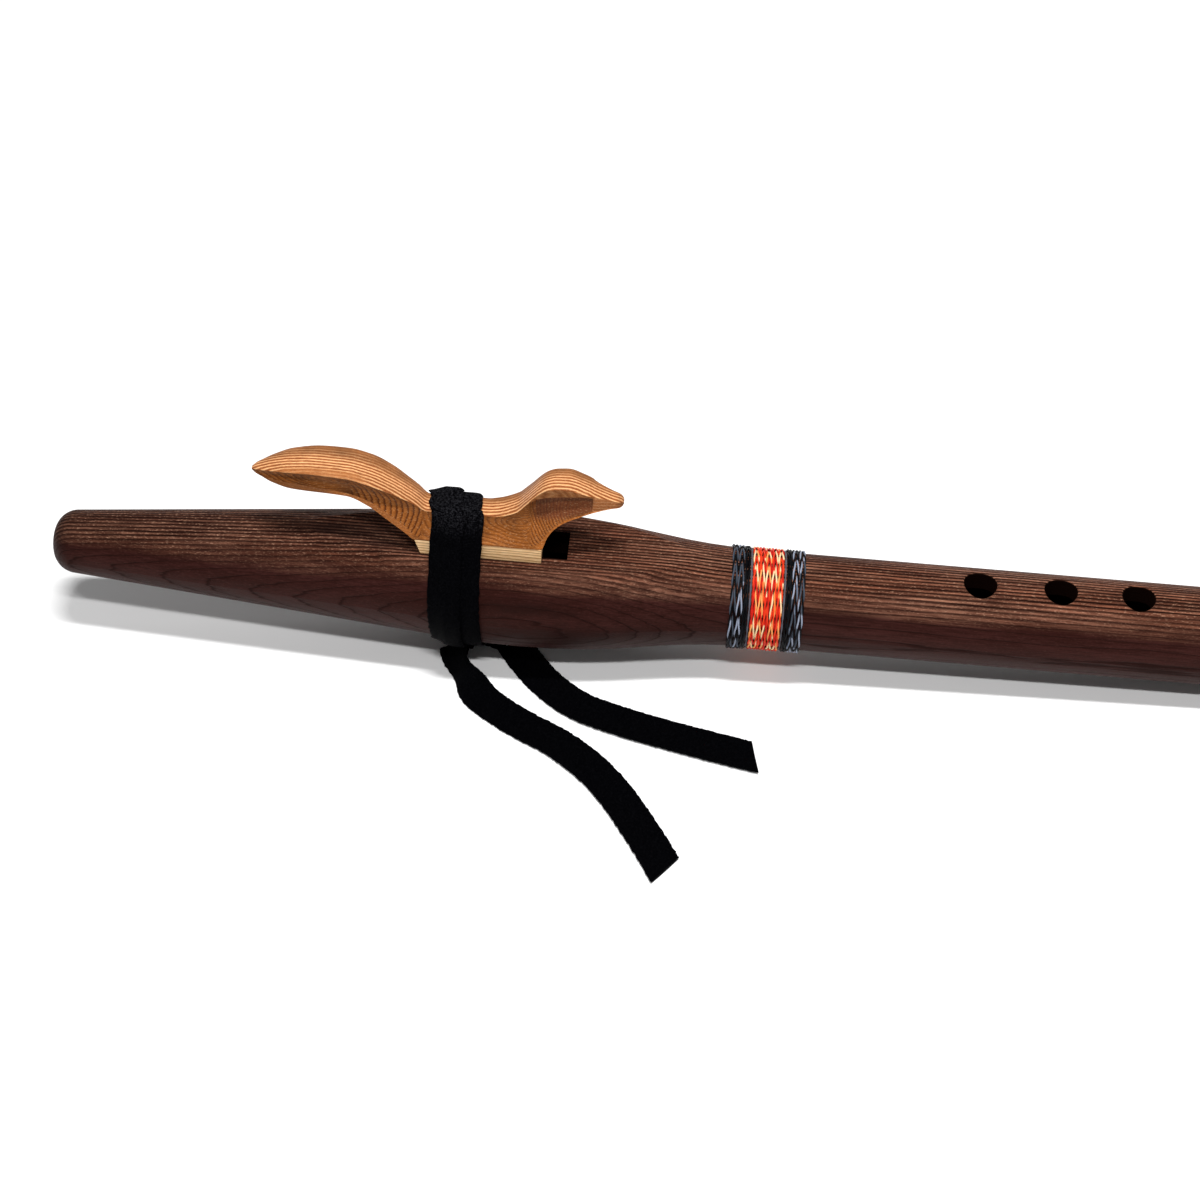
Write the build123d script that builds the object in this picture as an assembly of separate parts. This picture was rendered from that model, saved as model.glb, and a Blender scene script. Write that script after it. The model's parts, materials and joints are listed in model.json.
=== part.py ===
from build123d import *
import os
from math import acos, asin, atan, atan2, cos, degrees, hypot, pi, radians, sin, sqrt, tan

# A two-chamber wooden flute with a carved bird block tied over its flue.
# Sizes are millimetres. Every piece is drawn along the flute's own axis: x = 0 at the
# splitting edge of the sound hole, x grows towards the foot, z points up through the
# block and the finger holes, and the camera's side is -y. The finished pieces are then
# tilted a little and lifted, so that the flute lies on z = 0 as it really rests: on the
# knot of its strap and on the foot end.

# Body, outside
mouth_x = -170.0
foot_x = 338.0
mouth_radius = 10.55
nose_rounding = 7.5
belly_radius = 22.4
belly_x = -14.0
cone_end_slope = 0.0847
cone_blend_radius = 250.0
barrel_radius = 15.9
barrel_start_x = 66.0
foot_rounding = 1.2

# Body, inside
chamber_radius = 9.525
slow_chamber_radius = 7.9
slow_chamber_start_x = -150.0
slow_chamber_end_x = -32.0
blow_hole_radius = 2.4
foot_bore_chamfer = 0.8

# Nest, sound hole and the exit of the slow air chamber
nest_z = 17.2
sound_hole_length = 8.6
sound_hole_width = 12.4
sound_hole_reach = 3.8
splitting_edge_thickness = 0.7
splitting_edge_undercut = 6.5
air_exit_length = 7.0
air_exit_width = 9.5

# Finger holes
hole_radius = 5.35
hole_rim_rounding = 0.5
hole_centres = (133.6, 159.6, 184.7, 210.5, 237.0, 265.5)

# Block and its base
block_clearance = 0.05
block_travel = 3.0
base_thickness = 6.1
base_front_x = -8.2
base_back_x = -47.3
base_back_lean = 1.8
base_half_width = 9.0
flue_width = 11.0
flue_depth = 1.2

# The block's saddle, the straight waist that the strap goes over
saddle_height = 9.25
saddle_half_width = 4.1
saddle_scoop_half_width = 4.9
saddle_flank_half_width = 7.2
saddle_edge_rounding = 1.2
saddle_offset = 1.9
saddle_spare = 1.25

# The block's sections: where its flank and its scoop lie in the height, how far its top
# edges may be rounded as a share of the half-width and of the height, and how many
# sections there are from one station to the next
flank_height_share = 0.28
scoop_height_share = 0.62
rounding_share_of_width = 0.35
rounding_share_of_height = 0.2
sections_per_station = 3

# Strap
strap_thickness = 1.2
strap_width = 10.7
strap_tail_width = 12.0
strap_seat = 0.15
strap_block_gap = 0.3
strap_saddle_margin = 0.45
strap_turns = 2
strap_pitch = 6.2
strap_turn_gap = 0.42
strap_step_run = 1.0
strap_flatten_turns = 0.12
strap_body_flats = 14
strap_body_share = 0.7
strap_corner_flats = 4

# Knot and tails
knot_x = -29.0
knot_thickness = 3.3
knot_seat = 0.3
knot_edge_rounding = 1.0
knot_foot_chamfer = 0.5
tail_floor_gap = 0.05
tail_arc_share = 0.45

# Thread bands
thread_diameter = 0.9
thread_pitch = 1.33
thread_seat = 0.08
band_start_x = 53.3
band_gap = 0.1

# How far a cut runs past the face that it opens, and how near counts as the same place
overshoot = 1.0
same_place = 0.01

# How finely the threads' own gaps are measured
gap_points_per_turn = 48
gap_share_of_turn = 0.7

# Cone, belly and shoulder, worked out
cone_end_angle = atan(cone_end_slope)
belly_blend_x = belly_x - cone_blend_radius * sin(cone_end_angle)
belly_blend_radius = belly_radius - cone_blend_radius * (1 - cos(cone_end_angle))
nose_end_x = mouth_x + nose_rounding
nose_centre_radius = mouth_radius - nose_rounding
cone_slope = (belly_blend_radius - mouth_radius) / (belly_blend_x - nose_end_x)
shoulder_x = (belly_x + barrel_start_x) / 2
shoulder_radius = (belly_radius + barrel_radius) / 2
shoulder_run = shoulder_x - belly_x
shoulder_drop = belly_radius - shoulder_radius
shoulder_arc_radius = (shoulder_run**2 + shoulder_drop**2) / (2 * shoulder_drop)

# Block and strap, worked out: the saddle is long enough for the strap and the block's travel
base_bottom_z = nest_z + block_clearance
base_top_z = base_bottom_z + base_thickness
saddle_z = base_top_z + saddle_height
saddle_back_x = base_back_x + saddle_offset
strap_spread = strap_width + (strap_turns - 1) * strap_pitch
strap_start_x = saddle_back_x + strap_saddle_margin + strap_width / 2 - strap_pitch / 2
saddle_front_x = saddle_back_x + strap_saddle_margin + strap_spread + block_travel + saddle_spare


def body_radius(x):
    """The outside radius of the body at a place along it, behind the rounded nose."""
    if x < belly_blend_x:
        return belly_blend_radius - cone_slope * (belly_blend_x - x)
    if x < belly_x:
        return belly_radius - cone_blend_radius + sqrt(cone_blend_radius**2 - (belly_x - x) ** 2)
    if x < shoulder_x:
        run = x - belly_x
        return belly_radius - shoulder_arc_radius + sqrt(shoulder_arc_radius**2 - run**2)
    if x < barrel_start_x:
        run = barrel_start_x - x
        return barrel_radius + shoulder_arc_radius - sqrt(shoulder_arc_radius**2 - run**2)
    return barrel_radius


def strap_radius(x):
    """The inner radius of the strap on the body, a little more because it is made of flats."""
    flat_angle = pi * strap_body_share / strap_body_flats
    return (body_radius(x) + strap_seat) / cos(flat_angle / 2)


# How the flute lies: the knot holds the belly up, so the body leans down towards its foot.
knot_hollow_radius = strap_radius(knot_x) + 2 * strap_thickness + strap_turn_gap + knot_seat
knot_drop = knot_hollow_radius + knot_thickness
foot_centre_x = foot_x - foot_rounding
foot_centre_drop = barrel_radius - foot_rounding
rest_run = foot_centre_x - knot_x
rest_drop = knot_drop - foot_centre_drop
rest_pitch = atan2(rest_drop, rest_run) - asin(foot_rounding / hypot(rest_drop, rest_run))
rest_lift = knot_drop * cos(rest_pitch) + knot_x * sin(rest_pitch)


def rest_x(x, z):
    """How far along the floor a point of the flute lies, before the part is centred."""
    return x * cos(rest_pitch) + z * sin(rest_pitch)


front_edge_x = rest_x(foot_x, foot_centre_drop)
back_edge_x = rest_x(nose_end_x, -nose_centre_radius) - nose_rounding
centre_x = (front_edge_x + back_edge_x) / 2
placing = Pos(-centre_x, 0, rest_lift) * Rot(0, degrees(rest_pitch), 0)
floor_placing = Pos(rest_x(knot_x, -knot_drop) - centre_x, 0, 0)


def revolved(outline):
    """A closed outline in the x, radius plane, turned once about the flute's axis.

    The turn starts and ends at the bottom, away from the holes and the nest.
    """
    return revolve(Rot(-90, 0, 0) * make_face(outline), Axis.X)


def body_blank():
    """The outside of the body: rounded nose, cone, belly, shoulder and straight barrel."""
    nose_mid = (
        nose_end_x - nose_rounding * cos(radians(45)),
        nose_centre_radius + nose_rounding * sin(radians(45)),
    )
    nose = ThreePointArc((mouth_x, nose_centre_radius), nose_mid, (nose_end_x, mouth_radius))
    cone = Line((nose_end_x, mouth_radius), (belly_blend_x, belly_blend_radius))
    belly = TangentArc(
        (belly_x, belly_radius),
        (belly_blend_x, belly_blend_radius),
        tangent=(-1, 0),
    )
    shoulder = TangentArc(
        (belly_x, belly_radius), (shoulder_x, shoulder_radius), tangent=(1, 0)
    )
    waist = TangentArc(
        (barrel_start_x, barrel_radius), (shoulder_x, shoulder_radius), tangent=(-1, 0)
    )
    barrel = Line((barrel_start_x, barrel_radius), (foot_x, barrel_radius))
    foot = Line((foot_x, barrel_radius), (foot_x, 0))
    axis = Line((foot_x, 0), (mouth_x, 0))
    tip = Line((mouth_x, 0), (mouth_x, nose_centre_radius))
    blank = revolved([nose, cone, belly, shoulder, waist, barrel, foot, axis, tip])
    rim = blank.edges().filter_by(GeomType.CIRCLE).sort_by(Axis.X)[-1]
    return fillet(rim, foot_rounding)


def bored(x_from, x_to, radius):
    """A round bore along the flute's axis."""
    return Pos((x_from + x_to) / 2, 0, 0) * Rot(0, 90, 0) * Cylinder(radius, x_to - x_from)


def air_ways():
    """The blow hole, the slow air chamber and its exit up into the nest."""
    blow_hole = bored(mouth_x - overshoot, slow_chamber_start_x + overshoot, blow_hole_radius)
    chamber = bored(slow_chamber_start_x, slow_chamber_end_x, slow_chamber_radius)
    exit_x = slow_chamber_end_x - air_exit_length / 2
    exit_height = nest_z + overshoot
    air_exit = Pos(exit_x, 0, exit_height / 2) * Box(air_exit_length, air_exit_width, exit_height)
    return blow_hole + chamber + air_exit


def sound_hole():
    """The rectangular sound hole, whose foot side slopes under to a sharp splitting edge."""
    top = nest_z + overshoot
    bottom = chamber_radius - sound_hole_reach
    edge_z = nest_z - splitting_edge_thickness
    slope = splitting_edge_undercut / (edge_z - chamber_radius)
    foot_side_x = slope * (edge_z - bottom)
    side = Polyline(
        (-sound_hole_length, bottom),
        (foot_side_x, bottom),
        (0, edge_z),
        (0, top),
        (-sound_hole_length, top),
        close=True,
    )
    return extrude(Rot(90, 0, 0) * make_face(side), sound_hole_width / 2, both=True)


def hole_rims(flute):
    """The outer edges of the finger holes."""
    rims = []
    for edge in flute.edges():
        middle = edge.center(CenterOf.BOUNDING_BOX)
        length = edge.bounding_box().size.X
        outside = middle.Z > chamber_radius + hole_rim_rounding
        at_hole = any(abs(middle.X - x) < hole_radius for x in hole_centres)
        if outside and at_hole and hole_radius < length < 2 * (hole_radius + hole_rim_rounding):
            rims.append(edge)
    return rims


def foot_bore_rim(flute):
    """The edge of the bore at the foot end."""
    circles = flute.edges().filter_by(GeomType.CIRCLE)
    return [
        edge
        for edge in circles
        if abs(edge.arc_center.X - foot_x) < same_place
        and abs(edge.radius - chamber_radius) < same_place
    ]


def body():
    """The body with its bores and holes, before it is split into its two glued halves."""
    planed = Pos((mouth_x + barrel_start_x) / 2, 0, nest_z + belly_radius) * Box(
        barrel_start_x - mouth_x, 2 * (belly_radius + overshoot), 2 * belly_radius
    )
    flute = body_blank() - planed
    flute -= bored(-sound_hole_length, foot_x + overshoot, chamber_radius)
    flute -= air_ways()
    flute -= sound_hole()
    for x in hole_centres:
        flute -= Pos(x, 0, barrel_radius) * Cylinder(hole_radius, 2 * barrel_radius)
    flute = fillet(hole_rims(flute), hole_rim_rounding)
    return chamfer(foot_bore_rim(flute), foot_bore_chamfer)


def split_body():
    """The two half-rounds that are glued together along the flute's middle."""
    whole = body()
    top = split(whole, bisect_by=Plane.XY, keep=Keep.TOP)
    bottom = split(whole, bisect_by=Plane.XY, keep=Keep.BOTTOM)
    return top, bottom


# The bird block at stations along it. Each row holds a place, the height of the top, the
# half-widths of the top, the scoop, the flank and the bottom, and the height of the bottom.
# Heights count from the top of the base. Places count from the base's back end in the
# tail, where the base's whole width ends, and from its front end in the head.
tail_stations = (
    (-54.5, 18.15, 0.7, 0.6, 0.6, 0.5, 17.25),
    (-51.2, 19.95, 2.5, 2.0, 1.8, 1.7, 15.55),
    (-47.7, 21.55, 3.9, 3.1, 2.8, 2.8, 14.25),
    (-41.7, 23.35, 5.7, 4.4, 4.1, 4.4, 13.55),
    (-32.7, 24.35, 6.8, 5.3, 4.9, 5.3, 13.75),
    (-23.7, 23.85, 7.1, 5.5, 5.1, 5.6, 13.25),
    (-16.7, 21.85, 7.1, 5.5, 5.3, 6.2, 10.25),
    (-10.2, 18.65, 6.4, 5.2, 5.8, 7.2, 5.45),
    (-4.2, 14.35, 5.2, 4.9, 6.6, 8.5, 1.4),
    (-base_back_lean, 12.35, 4.7, 4.9, 6.9, base_half_width, 0.0),
)
head_stations = (
    (-8.8, 12.05, 4.5, 4.7, 7.0, base_half_width, 0.0),
    (-4.3, 16.65, 4.3, 4.1, 6.6, base_half_width, 0.0),
    (0.0, 22.35, 4.4, 3.7, 5.9, base_half_width, 0.0),
    (3.2, 24.15, 4.8, 3.7, 5.4, 6.8, 6.85),
    (7.2, 24.55, 5.1, 3.8, 4.8, 5.8, 10.15),
    (12.2, 23.05, 4.7, 3.7, 4.3, 5.0, 12.55),
    (16.7, 20.75, 3.9, 3.3, 3.6, 4.1, 14.15),
    (21.2, 18.55, 2.7, 2.5, 2.6, 2.7, 14.95),
    (24.2, 17.05, 1.5, 1.4, 1.4, 1.4, 15.25),
    (25.1, 16.45, 0.8, 0.8, 0.8, 0.7, 15.65),
)


def block_stations():
    """All stations of the block from tail tip to beak, with the straight saddle between."""
    saddle = (
        saddle_height,
        saddle_half_width,
        saddle_scoop_half_width,
        saddle_flank_half_width,
        base_half_width,
        0.0,
    )
    tail = [(base_back_x + place, *sizes) for place, *sizes in tail_stations]
    head = [(base_front_x + place, *sizes) for place, *sizes in head_stations]
    return [*tail, (saddle_back_x, *saddle), (saddle_front_x, *saddle), *head]


def smooth_value(xs, ys, x):
    """A smooth curve through the given values that never overshoots them."""
    spans = range(len(xs) - 1)
    rise = [(ys[i + 1] - ys[i]) / (xs[i + 1] - xs[i]) for i in spans]
    slope = [rise[0]]
    for before, after in zip(rise, rise[1:]):
        slope.append(2 * before * after / (before + after) if before * after > 0 else 0.0)
    slope.append(rise[-1])
    i = max(k for k in spans if xs[k] <= x or k == 0)
    step = xs[i + 1] - xs[i]
    t = (x - xs[i]) / step
    start = (1 + 2 * t) * (1 - t) ** 2 * ys[i] + t * (1 - t) ** 2 * step * slope[i]
    end = t * t * (3 - 2 * t) * ys[i + 1] + t * t * (t - 1) * step * slope[i + 1]
    return start + end


def block_section(x, top, top_half, scoop_half, flank_half, bottom_half, bottom):
    """One cross-section of the block: rounded top edges, scooped sides, wider foot."""
    height = top - bottom
    edge = min(
        saddle_edge_rounding,
        rounding_share_of_width * top_half,
        rounding_share_of_height * height,
    )
    corner = edge * (1 - cos(radians(45)))
    half = [
        (bottom_half, bottom),
        (flank_half, bottom + flank_height_share * height),
        (scoop_half, bottom + scoop_height_share * height),
        (top_half, top - edge),
        (top_half - corner, top - corner),
        (top_half - edge, top),
    ]
    ring = half + [(-y, z) for y, z in reversed(half)]
    return Wire.make_polygon([Vector(x, y, base_top_z + z) for y, z in ring], close=True)


def bird_block():
    """The carved bird: raised tail, straight saddle for the strap, head and short beak."""
    xs, *columns = zip(*block_stations())
    places = [
        x + (following - x) * k / sections_per_station
        for x, following in zip(xs, xs[1:])
        for k in range(sections_per_station)
    ]
    places.append(xs[-1])
    sections = [
        block_section(x, *[smooth_value(xs, column, x) for column in columns]) for x in places
    ]
    return Solid.make_loft(sections, True)


def block_base():
    """The pale layer glued under the bird, with the flue cut into its underside."""
    side = Polyline(
        (base_back_x, base_bottom_z),
        (base_front_x, base_bottom_z),
        (base_front_x, base_top_z),
        (base_back_x - base_back_lean, base_top_z),
        close=True,
    )
    layer = extrude(Rot(90, 0, 0) * make_face(side), base_half_width, both=True)
    flue_back_x = slow_chamber_end_x - air_exit_length
    flue_length = base_front_x - flue_back_x + overshoot
    flue_height = flue_depth + overshoot
    flue = Pos(flue_back_x + flue_length / 2, 0, base_bottom_z + flue_depth - flue_height / 2) * Box(
        flue_length, flue_width, flue_height
    )
    return layer - flue


# The strap's path round the body and the saddle, seen along the flute: arcs on the body
# and on the saddle's two edges, and straight runs between them.
saddle_edge_y = saddle_half_width - saddle_edge_rounding
saddle_edge_z = saddle_z - saddle_edge_rounding
strap_corner_radius = saddle_edge_rounding + strap_block_gap


def tangent_angle(x):
    """The angle from straight up at which the strap leaves the body for the saddle's edge."""
    reach = hypot(saddle_edge_y, saddle_edge_z)
    return atan2(saddle_edge_y, saddle_edge_z) + acos(
        (strap_radius(x) - strap_corner_radius) / reach
    )


def strap_places(x):
    """One turn of the strap from the bottom, up the back, over the saddle and down the front.

    Each place is (side, on the body or on the saddle, angle of the outward normal from up).
    """
    lift_off = tangent_angle(x)
    rising = []
    for k in range(strap_body_flats + 1):
        rising.append(("body", pi - (pi - lift_off) * k / strap_body_flats))
    for k in range(strap_corner_flats + 1):
        rising.append(("saddle", lift_off * (1 - k / strap_corner_flats)))
    up = [(1, kind, angle) for kind, angle in rising]
    down = [(-1, kind, angle) for kind, angle in reversed(rising)]
    return up + down


def strap_point(place, x):
    """The inner face of the strap at a place of its turn, and the outward direction there."""
    side, kind, angle = place
    out = (side * sin(angle), cos(angle))
    if kind == "body":
        radius = strap_radius(x)
        return (radius * out[0], radius * out[1]), out
    y = side * saddle_edge_y + strap_corner_radius * out[0]
    z = saddle_edge_z + strap_corner_radius * out[1]
    return (y, z), out


def raised_point(place, x, lift):
    """A point of the strap at a place of its turn, lifted off its inner face."""
    (y, z), out = strap_point(place, x)
    return Vector(x, y + lift * out[0], z + lift * out[1])


def strap_section(place, x, step):
    """One cross-section of the strap: flat at its left, stepped up over the next turn at its right."""
    half = strap_width / 2
    step_x = strap_pitch - half - strap_step_run - strap_turn_gap
    offsets = [(-half, 0.0), (step_x, 0.0), (step_x + strap_step_run, step), (half, step)]
    inner = [raised_point(place, x + dx, lift) for dx, lift in offsets]
    outer = [raised_point(place, x + dx, lift + strap_thickness) for dx, lift in offsets]
    return Wire.make_polygon(inner + outer[::-1], close=True)


def strap_sections():
    """The places of both turns in order: turn count, place, x and how far the right side steps up."""
    full_step = strap_thickness + strap_turn_gap
    sections = []
    for turn in range(strap_turns):
        places = strap_places(strap_start_x + strap_pitch * (turn + 0.5))
        for place in places[1:] if turn else places:
            side, kind, angle = place
            count = turn + (1 - side * angle / pi) / 2
            x = strap_start_x + strap_pitch * count
            flatten = min(1.0, max(0.0, (count - strap_turns + 1) / strap_flatten_turns))
            sections.append((count, place, x, full_step * (1 - flatten)))
    return sections


def strap_wraps():
    """Two turns of the strap round the flute and the block, the left lapped over the right."""
    wires = [strap_section(place, x, step) for count, place, x, step in strap_sections()]
    return Solid.make_loft(wires, True)


def distance_to_run(point, a, b):
    """The distance from a point to the straight run between two others."""
    run = b - a
    share = min(1.0, max(0.0, (point - a).dot(run) / run.dot(run)))
    return (point - a - run * share).length


def print_strap_gap():
    """Prints the least gap between the first turn and the second, which it laps over."""
    half = strap_width / 2
    sections = strap_sections()
    first = [s for s in sections if s[0] <= strap_turns - 1]
    second = [s for s in sections if s[0] >= strap_turns - 1]
    edge = [raised_point(place, x - half, strap_thickness) for count, place, x, step in second]
    least = min(
        distance_to_run(raised_point(place, x + strap_pitch - half, step), a, b)
        for count, place, x, step in first
        for a, b in zip(edge, edge[1:])
    )
    print("strap_wraps turns", strap_turns, "least gap", round(least, 3))


# Knot and tails lie on the floor, so they are drawn there: x along the floor and y across
# it from the knot's middle, z up from the floor.
knot_back_corners = ((11.5, 8.0), (-9.5, 8.5), (-14.0, 2.5))
tail_left_route = (
    (-7.2, -8.0),
    (-4.6, -22.5),
    (14.5, -37.8),
    (35.0, -48.6),
    (53.5, -67.5),
    (68.6, -94.5),
)
tail_right_route = (
    (10.0, -4.5),
    (29.5, -26.0),
    (58.5, -39.2),
    (94.8, -47.4),
)


def unit(a, b):
    """The direction from one floor point to another."""
    run = hypot(b[0] - a[0], b[1] - a[1])
    return ((b[0] - a[0]) / run, (b[1] - a[1]) / run)


def exit_edge(route):
    """The two corners of the knot's face that a tail leaves square to."""
    along = unit(route[0], route[1])
    half = strap_tail_width / 2 + knot_edge_rounding
    x, y = route[0]
    left = (x + along[1] * half, y - along[0] * half)
    right = (x - along[1] * half, y + along[0] * half)
    return left, right


def strap_knot():
    """The flat knot under the belly, hollowed on top to the round of the wraps above it."""
    outline = Polyline(
        *exit_edge(tail_left_route),
        *exit_edge(tail_right_route),
        *knot_back_corners,
        close=True,
    )
    wall = extrude(make_face(outline), knot_drop / 2)
    ground = wall.edges().filter_by(Plane.XY).group_by(Axis.Z)[0]
    wall = chamfer(ground, knot_foot_chamfer)
    length = 4 * strap_width
    lying = Pos(0, 0, knot_drop) * Rot(0, degrees(rest_pitch), 0) * Rot(0, 90, 0)
    return wall - lying * Cylinder(knot_hollow_radius, length)


def arc_radii(route):
    """The radius of the arc at each corner of a route, as large as its two runs allow."""
    radii = []
    for a, b, c in zip(route, route[1:], route[2:]):
        run_in = hypot(b[0] - a[0], b[1] - a[1])
        run_out = hypot(c[0] - b[0], c[1] - b[1])
        into = unit(a, b)
        out = unit(b, c)
        turn = acos(into[0] * out[0] + into[1] * out[1])
        radii.append(tail_arc_share * min(run_in, run_out) / tan(turn / 2))
    return radii


def strap_tail(route, name):
    """A free end of the strap, lying flat on the floor along its route."""
    height = tail_floor_gap + strap_thickness / 2
    radii = arc_radii(route)
    path = FilletPolyline(*[(x, y, height) for x, y in route], radius=radii)
    start = Plane(origin=path @ 0, x_dir=(0, 0, 1), z_dir=path % 0)
    section = start * Rectangle(strap_thickness, strap_tail_width)
    tail = sweep(section, path=path)
    expected = strap_thickness * strap_tail_width * path.length
    print(name, "length", round(path.length, 1), "radii", [round(r, 1) for r in radii])
    print(name, "volume", round(tail.volume, 1), "section x length", round(expected, 1))
    return tail


# Thread bands: name, turns. Each band is one unbroken thread.
thread_bands = (
    ("thread_grey_left", 2.5),
    ("thread_black_left", 1.5),
    ("thread_orange", 6.5),
    ("thread_black_right", 1.5),
    ("thread_grey_right", 2.5),
)


def thread_ring(x):
    """How far the middle of the thread lies from the flute's axis."""
    return body_radius(x) + thread_seat + thread_diameter / 2


def thread_band(start_x, turns):
    """One thread wound on the body in half turns that each run straight on into the next."""
    corners = []
    for k in range(int(2 * turns) + 1):
        x = start_x + thread_pitch * k / 2
        side = 1 if k % 2 == 0 else -1
        corners.append(Vector(x, side * thread_ring(x), 0))
    arcs = []
    for k, (a, b) in enumerate(zip(corners, corners[1:])):
        up = 1 if k % 2 == 0 else -1
        middle = (a + b) * 0.5 + Vector(0, 0, up * (b - a).length / 2)
        arcs.append(Edge.make_three_point_arc(a, middle, b))
    path = Wire(arcs)
    start = Plane(origin=path @ 0, z_dir=path % 0)
    return sweep(start * Circle(thread_diameter / 2), path=path), path


def print_thread_gap(name, path, turns):
    """Prints the least gap of a band to itself, measured on points most of a turn apart."""
    count = int(turns * gap_points_per_turn)
    apart = int(gap_share_of_turn * gap_points_per_turn)
    points = [path @ (k / count) for k in range(count + 1)]
    least = min(
        (points[i] - points[j]).length for i in range(count + 1) for j in range(i + apart, count + 1)
    )
    print(name, "turns", turns, "least gap", round(least - thread_diameter, 3))


def main():
    os.makedirs("parts", exist_ok=True)
    print("pitch", round(degrees(rest_pitch), 3), "lift", round(rest_lift, 3))
    print("centre", round(centre_x, 3), "cone slope", round(cone_slope, 4))
    barrel_top, barrel_bottom = split_body()
    pieces = {
        "barrel_top": placing * barrel_top,
        "barrel_bottom": placing * barrel_bottom,
        "bird_block": placing * bird_block(),
        "block_base": placing * block_base(),
        "strap_wraps": placing * strap_wraps(),
    }
    print_strap_gap()
    thread_x = band_start_x + thread_diameter / 2
    for name, turns in thread_bands:
        band, path = thread_band(thread_x, turns)
        print_thread_gap(name, path, turns)
        pieces[name] = placing * band
        thread_x += thread_pitch * turns + thread_diameter + band_gap
    pieces["strap_knot"] = floor_placing * strap_knot()
    pieces["strap_tail_left"] = floor_placing * strap_tail(tail_left_route, "strap_tail_left")
    pieces["strap_tail_right"] = floor_placing * strap_tail(tail_right_route, "strap_tail_right")
    for name, piece in pieces.items():
        export_step(piece, f"parts/{name}.step")


main()
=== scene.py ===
import json
from math import acos, atan, atan2, cos, hypot, pi, radians, sin, sqrt
from random import Random

import bmesh
import bpy
import numpy as np
from mathutils import Matrix, Vector, noise


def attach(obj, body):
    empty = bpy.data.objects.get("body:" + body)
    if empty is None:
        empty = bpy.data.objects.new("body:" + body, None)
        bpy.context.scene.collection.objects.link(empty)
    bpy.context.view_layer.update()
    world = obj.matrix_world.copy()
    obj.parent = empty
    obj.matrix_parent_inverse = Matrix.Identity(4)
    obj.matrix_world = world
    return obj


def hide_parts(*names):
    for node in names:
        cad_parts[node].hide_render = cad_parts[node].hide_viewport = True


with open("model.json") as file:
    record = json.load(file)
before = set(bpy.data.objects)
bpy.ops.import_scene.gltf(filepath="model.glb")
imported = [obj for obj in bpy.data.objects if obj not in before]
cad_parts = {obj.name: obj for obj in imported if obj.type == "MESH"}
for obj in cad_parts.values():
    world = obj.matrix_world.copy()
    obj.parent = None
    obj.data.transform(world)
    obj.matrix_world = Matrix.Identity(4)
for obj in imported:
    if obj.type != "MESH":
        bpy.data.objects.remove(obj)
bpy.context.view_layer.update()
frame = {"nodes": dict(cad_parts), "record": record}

# The flute's own frame, as its construction counts it: millimetres, x = 0 at the splitting
# edge of the sound hole and growing towards the foot, z up through the block. Two mounts of
# the frame lie on the flute's axis and give its place.
mounts = {mount["name"]: mount for mount in frame["record"]["mounts"]}
foot_mark = Vector(mounts["foot_bore"]["pos_m"])
mouth_mark = Vector(mounts["blow_hole"]["pos_m"])
foot_mark_x = 307.2
along = (foot_mark - mouth_mark).normalized()
upward = Vector((-along.z, 0.0, along.x))
pitch = atan2(upward.x, upward.z)
MM = 0.001

# Body
belly_radius = 22.4
belly_x = -14.0
cone_end_slope = 0.0847
cone_blend_radius = 250.0
mouth_x = -170.0
mouth_radius = 10.55
nose_rounding = 7.5
barrel_radius = 15.9
barrel_start_x = 66.0
nest_z = 17.2

# Block and base
base_bottom_z = 17.25
base_top_z = 23.35
base_front_x = -8.2
base_back_x = -47.3
base_back_lean = 1.8
base_half_width = 9.0
flue_back_x = -39.0
flue_width = 11.0
flue_depth = 1.2
saddle_z = 32.6
saddle_half_width = 4.1
saddle_back_x = -45.4
saddle_front_x = -23.8
saddle_edge_rounding = 1.2

# Strap
strap_thickness = 1.2
strap_width = 10.7
strap_tail_width = 12.0
strap_seat = 0.2
strap_block_gap = 0.3
strap_pitch = 6.2
strap_start_x = -42.7
strap_lap_gap = 0.1
strap_turns = 2

# Thread bands: node, slot, where the band lies on the barrel, turns
thread_bands = (
    ("thread_grey_left", "thread_grey", 53.4, 57.6, 4),
    ("thread_black_left", "thread_black", 57.6, 60.25, 3),
    ("thread_orange", "thread_orange", 60.25, 70.35, 10),
    ("thread_black_right", "thread_black", 70.35, 73.0, 3),
    ("thread_grey_right", "thread_grey", 73.0, 77.4, 4),
)

# The body's cone and shoulder, worked out as in the construction
cone_end_angle = atan(cone_end_slope)
belly_blend_x = belly_x - cone_blend_radius * sin(cone_end_angle)
belly_blend_radius = belly_radius - cone_blend_radius * (1 - cos(cone_end_angle))
nose_end_x = mouth_x + nose_rounding
cone_slope = (belly_blend_radius - mouth_radius) / (belly_blend_x - nose_end_x)
shoulder_x = (belly_x + barrel_start_x) / 2
shoulder_drop = (belly_radius - barrel_radius) / 2
shoulder_arc_radius = ((shoulder_x - belly_x) ** 2 + shoulder_drop**2) / (2 * shoulder_drop)


def place(x, y, z):
    """A point of the flute's own frame, in millimetres, as a point of the row frame, in metres."""
    return foot_mark + along * ((x - foot_mark_x) * MM) + Vector((0, y * MM, 0)) + upward * (z * MM)


def place_all(points):
    """Many points of the flute's own frame, as rows of an array, placed in the row frame."""
    points = np.asarray(points, float) * MM
    shifted = points[:, :1] - foot_mark_x * MM
    across = np.array([[0.0, 1.0, 0.0]])
    return (
        np.array(foot_mark)
        + shifted * np.array(along)
        + points[:, 1:2] * across
        + points[:, 2:3] * np.array(upward)
    )


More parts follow.
